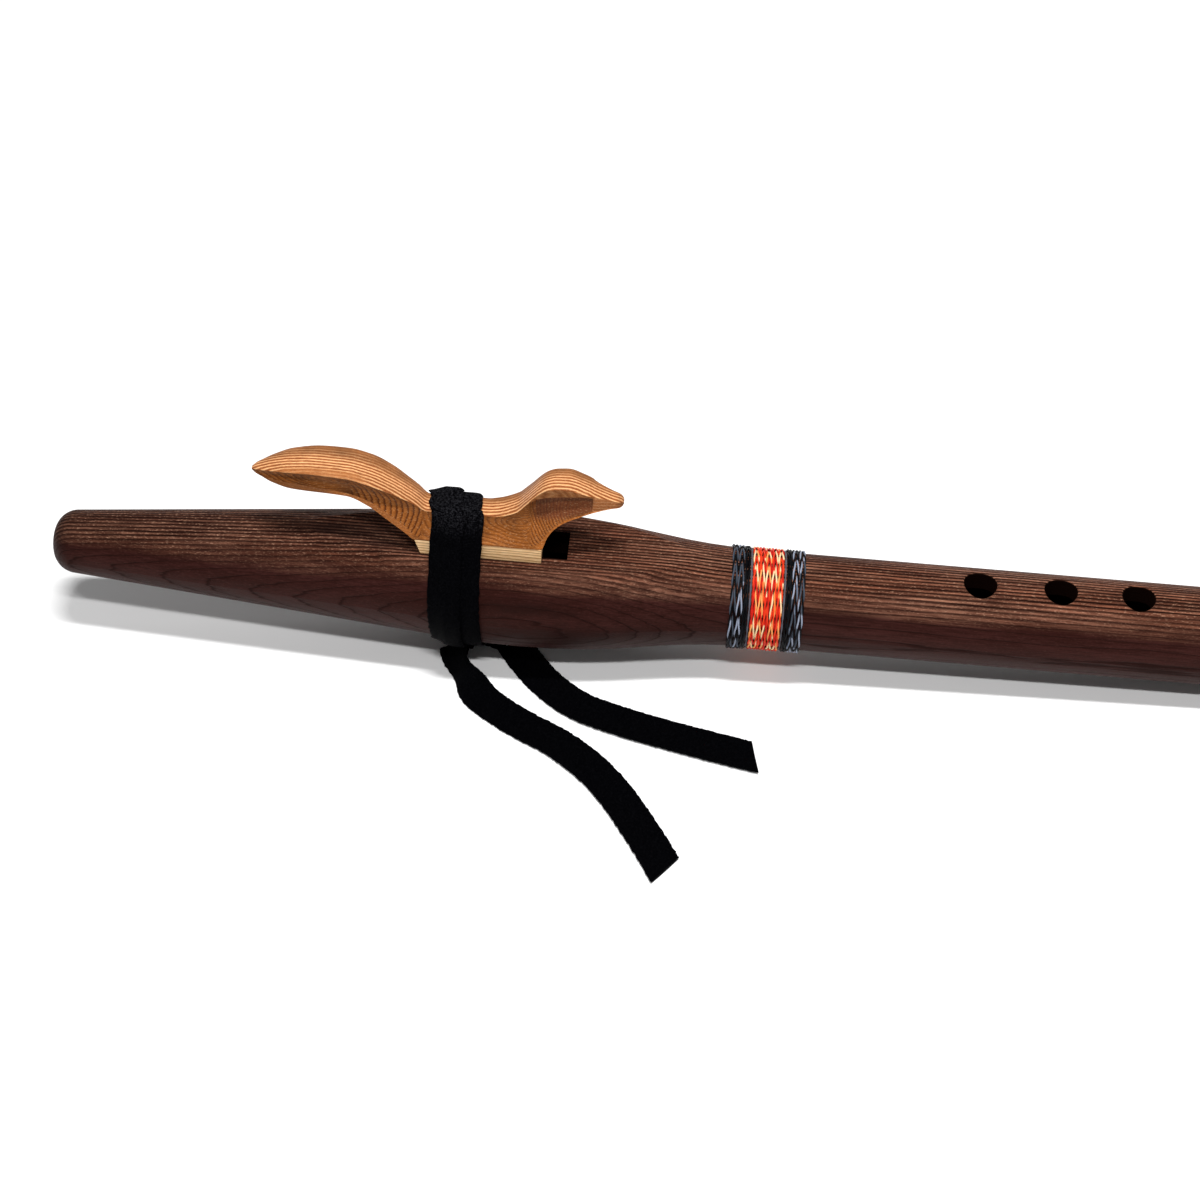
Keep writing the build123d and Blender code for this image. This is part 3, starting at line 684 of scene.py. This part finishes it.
def block_grain(x, y, z, zone):
    """How the wood looks at a point of the block.

    The growth ring count, how far it is carved side rather than top, the tone with painted
    highlight and shade in it, how plain the ring lines are, and how far it has the dark plum
    of the cheeks, which is partly the wood's colour and partly painted shade.
    """
    sway = noise.noise(Vector((x / 30, y / 9, z / 9)))
    cloud = noise.noise(Vector((x / 7, y / 5, z / 4)))
    # Painted highlight along the crown's middle.
    crest_highlight = 1 - smooth_step(abs(y + 1.2) / 4.5)
    tail = 1 - smooth_step((x + 68) / 6)
    if zone == 0:
        edge = smooth_step((abs(y) - 3.9) / 1.2) * tail
        # Painted shade on the crown's far side: darker, with fewer pale stripes.
        far = smooth_step((y + 0.5) / 4)
        end = smooth_step((x - 14.6) / 1.0)
        tone_and_light = 0.90 + 0.14 * crest_highlight - 0.30 * far - 0.2 * end + 0.16 * cloud * far
        lines = (1 - 0.75 * edge) * (1 - (0.72 - 0.30 * tail) * far)
        return y / 1.22 + 0.6 * sway + 20, 0.0, tone_and_light, lines, 0.0
    if zone == 2:
        lip = smooth_step((x + 80) / 8) * (1 - smooth_step((x + 52) / 4))
        front = smooth_step((x + 11) / 3)
        tone_and_light = 1.1 + 0.9 * lip + 0.5 * front
        return z / 1.4 + 20, 1.0 - smooth_step((x - 6.5) / 1.5), tone_and_light, 0.2, 0.0
    if zone == 3:
        return z / 1.4 + 20, 1.0, 0.8, 0.15, 0.0
    if x > 7.0:
        end = smooth_step((x - 14.6) / 1.0)
        return z / 1.3 + y / 2 + 20, 0.16, 0.95 - 0.25 * end, 0.3, 0.25
    if zone == 4 and x < -50:
        return abs(y) / 0.42 + 20, 1.0, 0.62, 0.5, 0.0
    if x > -12.5:
        swirl = hypot(x - 7, 1.15 * (z - 38)) / 1.05
        # The cheek hollow under the brow is painted darker and plum: partly the wood's colour, partly painted shade.
        cheek = smooth_step((x + 12.5) / 2.6) * smooth_step((z - 33.0 - 0.30 * (x + 4)) / 2.6)
        if zone == 4:
            return x / 4.0 + 1.4 * cloud + 20, 0.5, 1.22 - 0.38 * cheek + 0.2 * cloud, 0.4, 0.0
        arcs = smooth_step((x + 13) / 2) * (1 - smooth_step((x + 1) / 5))
        tone_and_light = 1.12 - 0.22 * cheek + 0.26 * cloud
        return swirl + 0.4 * cloud + 20, 1.0, tone_and_light, 0.34 + 0.62 * arcs, 0.72 * cheek
    if x > -47:
        whorl = hypot(x + 15, 2.6 * (z - 31)) / 2.3
        return whorl + 0.8 * cloud + 20, 1.0, 1.12 + 0.34 * cloud, 0.55, 0.0
    share = smooth_step((x + 71) / 3)
    arcs = (x + 0.42 * (z - 38) + 0.05 * (z - 37) ** 2) / 1.75
    nest = hypot((x + 78.0) / 3.4, 1.5 * (z - 42.6)) / 0.78
    blots = max(0.0, 1 - abs(x + 83.5) / 5) + max(0.0, 1 - abs(x + 70.5) / 4.5)
    blot = min(1.0, blots * (0.55 + 0.9 * cloud)) if blots > 0 else 0.0
    ring = arcs if share > 0.5 else nest + 0.5 * cloud
    tone_and_light = 1.0 - 0.6 * max(0.0, blot) - 0.04 * share
    return ring + 0.25 * sway + 20, 1.0, tone_and_light, 0.72 + 0.28 * share, 0.3 * max(0.0, blot)


bird = make_block()
dress(bird, "block")
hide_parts("bird_block")
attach(bird, "block")


def prism(name, outline, half_width):
    """A solid of a side outline (x, z), as wide to each side as given."""
    points = [(x, -half_width, z) for x, z in outline] + [(x, half_width, z) for x, z in outline]
    count = len(outline)
    faces = [tuple(range(count)), tuple(reversed(range(count, 2 * count)))]
    for k in range(count):
        following = (k + 1) % count
        faces.append((k, k + count, following + count, following))
    return add_mesh(name, place_all(points), faces, smooth=False)


def apply_modifiers(obj):
    """Puts the result of an object's modifiers into its mesh."""
    depsgraph = bpy.context.evaluated_depsgraph_get()
    depsgraph.update()
    result = bpy.data.meshes.new_from_object(obj.evaluated_get(depsgraph))
    obj.modifiers.clear()
    obj.data = result


def make_base():
    """The pale layer under the bird, with soft edges and the flue under it."""
    base = prism(
        "base",
        (
            (base_back_x, base_bottom_z),
            (base_front_x, base_bottom_z),
            (base_front_x, base_top_z),
            (base_back_x - base_back_lean, base_top_z),
        ),
        base_half_width,
    )
    flue = prism(
        "flue_cut",
        (
            (flue_back_x, base_bottom_z - 1),
            (base_front_x + 1, base_bottom_z - 1),
            (base_front_x + 1, base_bottom_z + flue_depth),
            (flue_back_x, base_bottom_z + flue_depth),
        ),
        flue_width / 2,
    )
    for solid in (base, flue):
        shape = bmesh.new()
        shape.from_mesh(solid.data)
        bmesh.ops.recalc_face_normals(shape, faces=shape.faces)
        shape.to_mesh(solid.data)
        shape.free()
    cut = base.modifiers.new("flue", "BOOLEAN")
    cut.operation = "DIFFERENCE"
    cut.object = flue
    cut.solver = "EXACT"
    soft = base.modifiers.new("edges", "BEVEL")
    soft.width = 0.22 * MM
    soft.segments = 3
    soft.limit_method = "ANGLE"
    apply_modifiers(base)
    bpy.data.objects.remove(flue)
    base.data.polygons.foreach_set("use_smooth", [False] * len(base.data.polygons))
    return base


base = make_base()
dress(base, "base")
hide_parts("block_base")
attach(base, "block")


# Strap: its loop round the body and the saddle at one place along the flute
saddle_edge_y = saddle_half_width - saddle_edge_rounding
saddle_edge_z = saddle_z - saddle_edge_rounding
strap_corner_radius = saddle_edge_rounding + strap_block_gap
body_steps = 44
run_steps = 10
corner_steps = 8
saddle_steps = 5


def strap_loop(x):
    """Samples of one turn from the bottom, up the back, over the saddle and down the front.

    Each sample is (side, kind, outward angle from straight up, share along a straight run).
    """
    radius = body_radius(x) + strap_seat
    reach = hypot(saddle_edge_y, saddle_edge_z)
    lift_off = atan2(saddle_edge_y, saddle_edge_z) + acos((radius - strap_corner_radius) / reach)
    rising = [("body", pi - (pi - lift_off) * k / body_steps, 0.0) for k in range(body_steps)]
    rising += [("run", lift_off, k / run_steps) for k in range(run_steps)]
    rising += [("saddle", lift_off * (1 - k / corner_steps), 0.0) for k in range(corner_steps)]
    rising += [("top", 0.0, k / saddle_steps / 2) for k in range(saddle_steps)]
    up = [(1, kind, angle, share) for kind, angle, share in rising]
    down = [(-1, kind, angle, share) for kind, angle, share in reversed(rising[1:])]
    return up + [(1, "top", 0.0, 0.5)] + down


def strap_point(sample, x):
    """The inner face of the strap at a sample of its loop, and the outward direction there."""
    side, kind, angle, share = sample
    out = (side * sin(angle), cos(angle))
    radius = body_radius(x) + strap_seat
    low = (radius * out[0], radius * out[1])
    high = (
        side * saddle_edge_y + strap_corner_radius * out[0],
        saddle_edge_z + strap_corner_radius * out[1],
    )
    if kind == "body":
        return low, out
    if kind == "run":
        return (low[0] + (high[0] - low[0]) * share, low[1] + (high[1] - low[1]) * share), out
    if kind == "saddle":
        return high, out
    return (side * saddle_edge_y * (1 - 2 * share), high[1]), out


def band_ring(width, thickness, across=22):
    """A strap's cross-section: (offset across, height off the inner face), edges rounded."""
    half = width / 2
    ring = []
    for k in range(across + 1):
        u = -1 + 2 * k / across
        u = u * (1.3 - 0.3 * u * u)
        ring.append((u * half, thickness * (0.56 + 0.44 * (1 - abs(u) ** 10))))
    for k in range(across + 1):
        u = 1 - 2 * k / across
        u = u * (1.3 - 0.3 * u * u)
        ring.append((u * half, thickness * 0.44 * abs(u) ** 10))
    return ring


def make_wraps():
    """Two turns of the strap, the first lapped over the second, with uneven edges."""
    half = strap_width / 2
    ring = band_ring(strap_width, strap_thickness)
    full_step = strap_thickness + strap_lap_gap
    step_x = strap_pitch - half - 1.9
    points = []
    rings = 0
    for turn in range(strap_turns):
        loop = strap_loop(strap_start_x + strap_pitch * (turn + 0.5))
        for sample in loop[1:] if turn else loop:
            side, kind, angle, share = sample
            count = turn + (1 - side * angle / pi) / 2
            x = strap_start_x + strap_pitch * count
            flatten = smooth_step((count - strap_turns + 1) / 0.12)
            (y0, z0), out = strap_point(sample, x)
            key = Vector((y0 * 0.9, z0 * 0.9, turn * 7.3))
            for dx, lift in ring:
                edge = abs(dx / half) ** 6
                rough = 0.16 * noise.noise(key + Vector((3.1 * (dx > 0), 0, 0)))
                rough += 0.22 * noise.noise(key * 4.1 + Vector((0, 5.0 * (dx > 0), 0)))
                dx = dx * (1 + edge * rough / half * 2.2)
                climb = min(1.0, max(0.0, (dx + half * 0.8) / (step_x + half * 0.8 + 0.9)))
                step = full_step * climb**1.3 * (1 - flatten)
                swell = 0.10 * noise.noise(Vector((x + dx, y0, z0)) * 0.35)
                (y, z), out = strap_point(sample, x + dx)
                rise = lift + step + (swell if lift > strap_thickness / 2 else 0.0)
                points.append((x + dx, y + rise * out[0], z + rise * out[1]))
            rings += 1
    placed = place_all(points)
    placed[:, 2] = np.maximum(placed[:, 2], 0.02 * MM)
    return add_mesh("strap_turns", placed, tube_faces(rings, len(ring)))


wraps = make_wraps()
dress(wraps, "suede")
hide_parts("strap_wraps")
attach(wraps, "flute_body")


# Knot and tails lie on the floor. Their points count from the knot's middle, in millimetres.
knot_x = -29.0
knot_drop = 28.6
knot_floor = place(knot_x, 0, -knot_drop)
tail_left_route = (
    (-7.2, -8.0),
    (-4.6, -22.5),
    (14.5, -37.8),
    (35.0, -48.6),
    (53.5, -67.5),
    (68.6, -94.5),
)
tail_right_route = (
    (12.2, -4.8),
    (26.0, -27.0),
    (58.5, -39.2),
    (94.8, -47.4),
)
tail_height = 0.65
knot_clearance = 0.28


def floor_point(x, y, z):
    """A point counted from the knot's middle on the floor, in the row frame."""
    return Vector((knot_floor.x + x * MM, y * MM, z * MM))


def route_points(name, route):
    """The points of a tail's line: a smooth spline with the route's points as its control points."""
    curve = bpy.data.curves.new(name + "_line", "CURVE")
    curve.dimensions = "3D"
    spline = curve.splines.new("NURBS")
    spline.points.add(len(route) - 1)
    for point, (x, y) in zip(spline.points, route):
        point.co = (*floor_point(x, y, tail_height), 1.0)
    spline.order_u = 3
    spline.use_endpoint_u = True
    spline.resolution_u = 24
    line = add_object(name + "_line", curve)
    mesh = bpy.data.meshes.new_from_object(line)
    points = np.array([v.co[:] for v in mesh.vertices])
    bpy.data.objects.remove(line)
    return points


def resample(points, step):
    """The same line with evenly spaced points."""
    gaps = np.linalg.norm(np.diff(points, axis=0), axis=1)
    reach = np.concatenate([[0.0], np.cumsum(gaps)])
    count = int(reach[-1] / step) + 1
    places = np.linspace(0.0, reach[-1], count)
    return np.stack([np.interp(places, reach, points[:, k]) for k in range(3)], 1), places


def ribbon(name, points, places, width_at, roll_at, cup_at, end_slant=0.0, seed=1):
    """A strap along a line: its width, roll and cup change along it, and its edges are uneven."""
    ring = band_ring(1.0, 1.0, 18)
    tangents = np.gradient(points, axis=0)
    tangents /= np.linalg.norm(tangents, axis=1)[:, None]
    total = places[-1]
    shape = []
    for centre, tangent, reach in zip(points, tangents, places):
        t = Vector(tangent)
        flat = Vector((0, 0, 1)).cross(t).normalized()
        width = width_at(reach / MM)
        roll = roll_at(reach / MM)
        across = flat * cos(roll) + Vector((0, 0, 1)) * sin(roll)
        out = t.cross(across).normalized()
        if out.z < 0:
            out = -out
        base = Vector(centre)
        base.z = 0.06 * MM + abs(sin(roll)) * width / 2 * MM
        for u, v in ring:
            side = 1 if u > 0 else -1
            edge = abs(2 * u) ** 6
            key = Vector((reach / MM * 0.9, side * 4.0, seed * 7.7))
            rough = 0.22 * noise.noise(key) + 0.24 * noise.noise(key * 3.7)
            offset = (u * width + side * edge * rough) * MM
            lift = (v * strap_thickness + cup_at(reach / MM) * (2 * u) ** 2) * MM
            slant = end_slant * u * smooth_step((reach - total + 6 * MM) / (6 * MM)) * MM
            shape.append(base + across * offset + out * lift + t * slant)
    return add_mesh(name, shape, tube_faces(len(points), len(ring)))


left_line, left_places = resample(route_points("tail_left", tail_left_route), 0.7 * MM)
right_line, right_places = resample(route_points("tail_right", tail_right_route), 0.7 * MM)


twist_reach = (0, 5, 9, 12, 15, 18, 22, 28, 120)
twist_roll = (16, 28, 44, 54, 50, 34, 14, 0, 0)
twist_width = (11.0, 10.6, 9.8, 9.2, 9.4, 10.4, 11.4, 12.0, 12.0)


def left_width(reach):
    """The left tail is drawn narrower where it is tilted."""
    return smooth_value(twist_reach, twist_width, reach)


def left_roll(reach):
    """The left tail tilts up on its right edge, close to the knot."""
    return radians(smooth_value(twist_reach, twist_roll, reach))


tail_left = ribbon(
    "strap_end_left",
    left_line,
    left_places,
    left_width,
    left_roll,
    lambda reach: 0.5 * smooth_step((reach - 30) / 30),
    end_slant=-5.0,
    seed=1,
)
tail_right = ribbon(
    "strap_end_right",
    right_line,
    right_places,
    lambda reach: strap_tail_width,
    lambda reach: 0.0,
    lambda reach: 0.6 * smooth_step((reach - 15) / 30),
    end_slant=-5.5,
    seed=2,
)
for tail, node, line, places in (
    (tail_left, "strap_tail_left", left_line, left_places),
    (tail_right, "strap_tail_right", right_line, right_places),
):
    dress(tail, "suede")
    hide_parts(node)
    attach(tail, "flute_body")


def make_knot():
    """The knot under the belly: the two ends crossed, and a loop drawn over them."""
    layers = (
        ("knot_under", ((-6.6, -6.8), (-6.0, -2.5), (-1.0, 3.5), (7.0, 5.0)), 0.0),
        ("knot_over", ((10.6, -4.6), (5.5, -2.0), (-2.0, -1.0), (-7.0, 1.0)), 1.25),
        ("knot_loop", ((-3.0, -6.8), (-1.5, -2.0), (-1.0, 2.5), (0.5, 7.5)), 2.5),
    )
    parts = []
    for name, route, lift in layers:
        line, places = resample(route_points(name, route), 0.7 * MM)
        part = ribbon(name, line, places, lambda reach: 10.5, lambda reach: 0.0, lambda reach: -0.5, seed=len(parts) + 5)
        for vertex in part.data.vertices:
            vertex.co.z += (lift + knot_clearance) * MM
        parts.append(part)
    joined = bmesh.new()
    for part in parts:
        joined.from_mesh(part.data)
        bpy.data.objects.remove(part)
    mesh = bpy.data.meshes.new("knot")
    joined.to_mesh(mesh)
    joined.free()
    return add_object("knot", mesh)


knot = make_knot()
dress(knot, "suede")
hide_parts("strap_knot")
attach(knot, "flute_body")


# Threads: each band is one thread of two twisted plies, wound side by side. Its twist looks
# reversed from one turn to the next, which gives the bands their zigzag.
ply_radius = 0.30
ply_orbit = 0.23
ply_sides = 7
twist_length = 9.4
thread_step = 0.6

reds = ((0.74, 0.028, 0.012), (0.86, 0.055, 0.016), (0.62, 0.020, 0.012), (0.90, 0.13, 0.03))
creams = ((1.0, 0.58, 0.24), (1.0, 0.40, 0.12), (1.0, 0.74, 0.42), (0.98, 0.28, 0.06))
blacks = ((0.001, 0.001, 0.002), (0.003, 0.003, 0.004), (0.006, 0.007, 0.009))
greys = ((0.14, 0.17, 0.23), (0.31, 0.36, 0.46), (0.06, 0.075, 0.10), (0.004, 0.005, 0.008))
border_grey = (0.12, 0.125, 0.15)


def thread_colour(slot, ply, stroke, turn, seed):
    """The colour of one ply of a thread on one stroke of its twist."""
    chance = noise.noise(Vector((stroke * 1.37 + ply * 5.1, turn * 2.3, seed))) * 0.5 + 0.5
    dyed = noise.noise(Vector((stroke * 0.55, turn * 0.45, seed + 40.0)))
    if slot == "thread_orange":
        if ply == 0 and dyed < 0.16:
            return creams[int(chance * 4) % 4]
        return reds[int(chance * 4) % 4]
    if slot == "thread_grey" and ply == 0:
        return greys[int(chance * 4) % 4]
    return blacks[int(chance * 3) % 3]


def make_band(node, slot, start, end, turns, seed):
    """One band of thread: its plies follow the thread's own winding round the barrel."""
    rng = Random(seed)
    thin_turn = -1
    if slot == "thread_black":
        thin_turn = turns - 1 if node.endswith("left") else 0
    pitch_mm = (end - start) / turns
    circumference = 2 * pi * (body_radius((start + end) / 2) + ply_radius + ply_orbit)
    steps = int(turns * circumference / thread_step)
    offset = rng.uniform(0, 2 * pi)
    points = []
    colours = []
    faces = []
    for ply in range(2):
        first = len(points)
        for k in range(steps + 1):
            share = k / steps
            angle = 2 * pi * turns * share
            turn = min(int(share * turns), turns - 1)
            local = share * turns - turn
            reach = local * circumference
            if turn % 2:
                reach = circumference - reach
            x = start + pitch_mm * (turns * share - 0.25)
            x += 0.07 * noise.noise(Vector((angle * 1.9, seed, 0.0)))
            size = 0.62 if turn == thin_turn else 1.0
            radius = body_radius(x) + size * (ply_radius + ply_orbit) - 0.04
            radius += 0.05 * noise.noise(Vector((angle * 2.3, seed, 5.0)))
            loose = 0.9 * noise.noise(Vector((angle * 1.3, turn * 3.1, seed + 9.0)))
            twist = offset + 2 * pi * reach / twist_length + ply * pi + loose
            px = x + size * ply_orbit * cos(twist)
            pr = radius + size * ply_orbit * sin(twist)
            stroke = int(reach / twist_length + 0.25)
            colour = thread_colour(slot, ply, stroke, turn, seed * 3.3)
            if turn == thin_turn:
                colour = border_grey
            for j in range(ply_sides):
                a = 2 * pi * j / ply_sides
                sx = px + size * ply_radius * cos(a)
                sr = pr + size * ply_radius * sin(a)
                points.append((sx, sr * sin(angle), -sr * cos(angle)))
                colours.append(colour)
        faces += tube_faces(steps + 1, ply_sides, first)
    band = add_mesh(node + "_wound", place_all(points), faces)
    layer = band.data.color_attributes.new("strand", "FLOAT_COLOR", "POINT")
    layer.data.foreach_set("color", [c for colour in colours for c in (*colour, 1.0)])
    dress(band, "thread")
    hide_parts(node)
    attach(band, "flute_body")


for number, (node, slot, start, end, turns) in enumerate(thread_bands):
    make_band(node, slot, start, end, turns, number + 1)


# Floor, light and camera
def make_floor():
    """A plain pale floor."""
    half = 4.0
    floor = add_mesh("floor", [(-half, -half, 0), (half, -half, 0), (half, half, 0), (-half, half, 0)], [(0, 1, 2, 3)])
    dress(floor, "floor")


def add_area(name, place_at, size, energy, aim):
    """A soft square light over the flute."""
    light = bpy.data.lights.new(name, "AREA")
    light.shape = "RECTANGLE"
    light.size, light.size_y = size
    light.energy = energy
    lamp = add_object(name, light)
    lamp.location = place_at
    lamp.rotation_euler = (Vector(aim) - Vector(place_at)).to_track_quat("-Z", "Y").to_euler()


def light_scene():
    """Two overhead lamps, one a little in front, in a dim white surround."""
    world = bpy.data.worlds.new("surround")
    world.use_nodes = True
    background = world.node_tree.nodes["Background"]
    background.inputs["Color"].default_value = (1, 1, 1, 1)
    background.inputs["Strength"].default_value = 0.16
    bpy.context.scene.world = world
    add_area("lamp_front", (0.0, -0.60, 1.22), (0.45, 0.05), 9.0, (0, 0, 0))
    add_area("lamp_top", (0.0, -0.14, 1.30), (0.45, 0.08), 15.0, (0, 0, 0))
    add_area("lamp_back", (0.0, 0.95, 1.0), (1.4, 0.7), 3.0, (0, 0, 0))


def make_camera():
    """The photograph's view, from its measured distance, height and turn."""
    distance = 785.3
    look_x = 11.3
    look_y = -6.7
    elevation = radians(47.3)
    turn = radians(2.28)
    tilt = radians(3.14)
    back = Vector((sin(turn) * cos(elevation), -cos(turn) * cos(elevation), sin(elevation)))
    right = Vector((cos(turn), sin(turn), 0.0))
    up = back.cross(right)
    tilted_right = right * cos(tilt) + up * sin(tilt)
    tilted_up = up * cos(tilt) - right * sin(tilt)
    own = Matrix((tilted_right, tilted_up, back)).transposed()
    turned = Matrix.Rotation(pitch, 3, "Y") @ own
    spot = place(look_x + distance * back.x, look_y + distance * back.y, distance * back.z)
    data = bpy.data.cameras.new("view")
    data.sensor_width = 36.0
    data.sensor_fit = "HORIZONTAL"
    data.lens = 72.0
    data.clip_start = 0.01
    camera = add_object("view", data)
    camera.matrix_world = Matrix.Translation(spot) @ turned.to_4x4()
    bpy.context.scene.camera = camera


make_floor()
light_scene()
make_camera()
bpy.context.scene.view_settings.view_transform = "Standard"
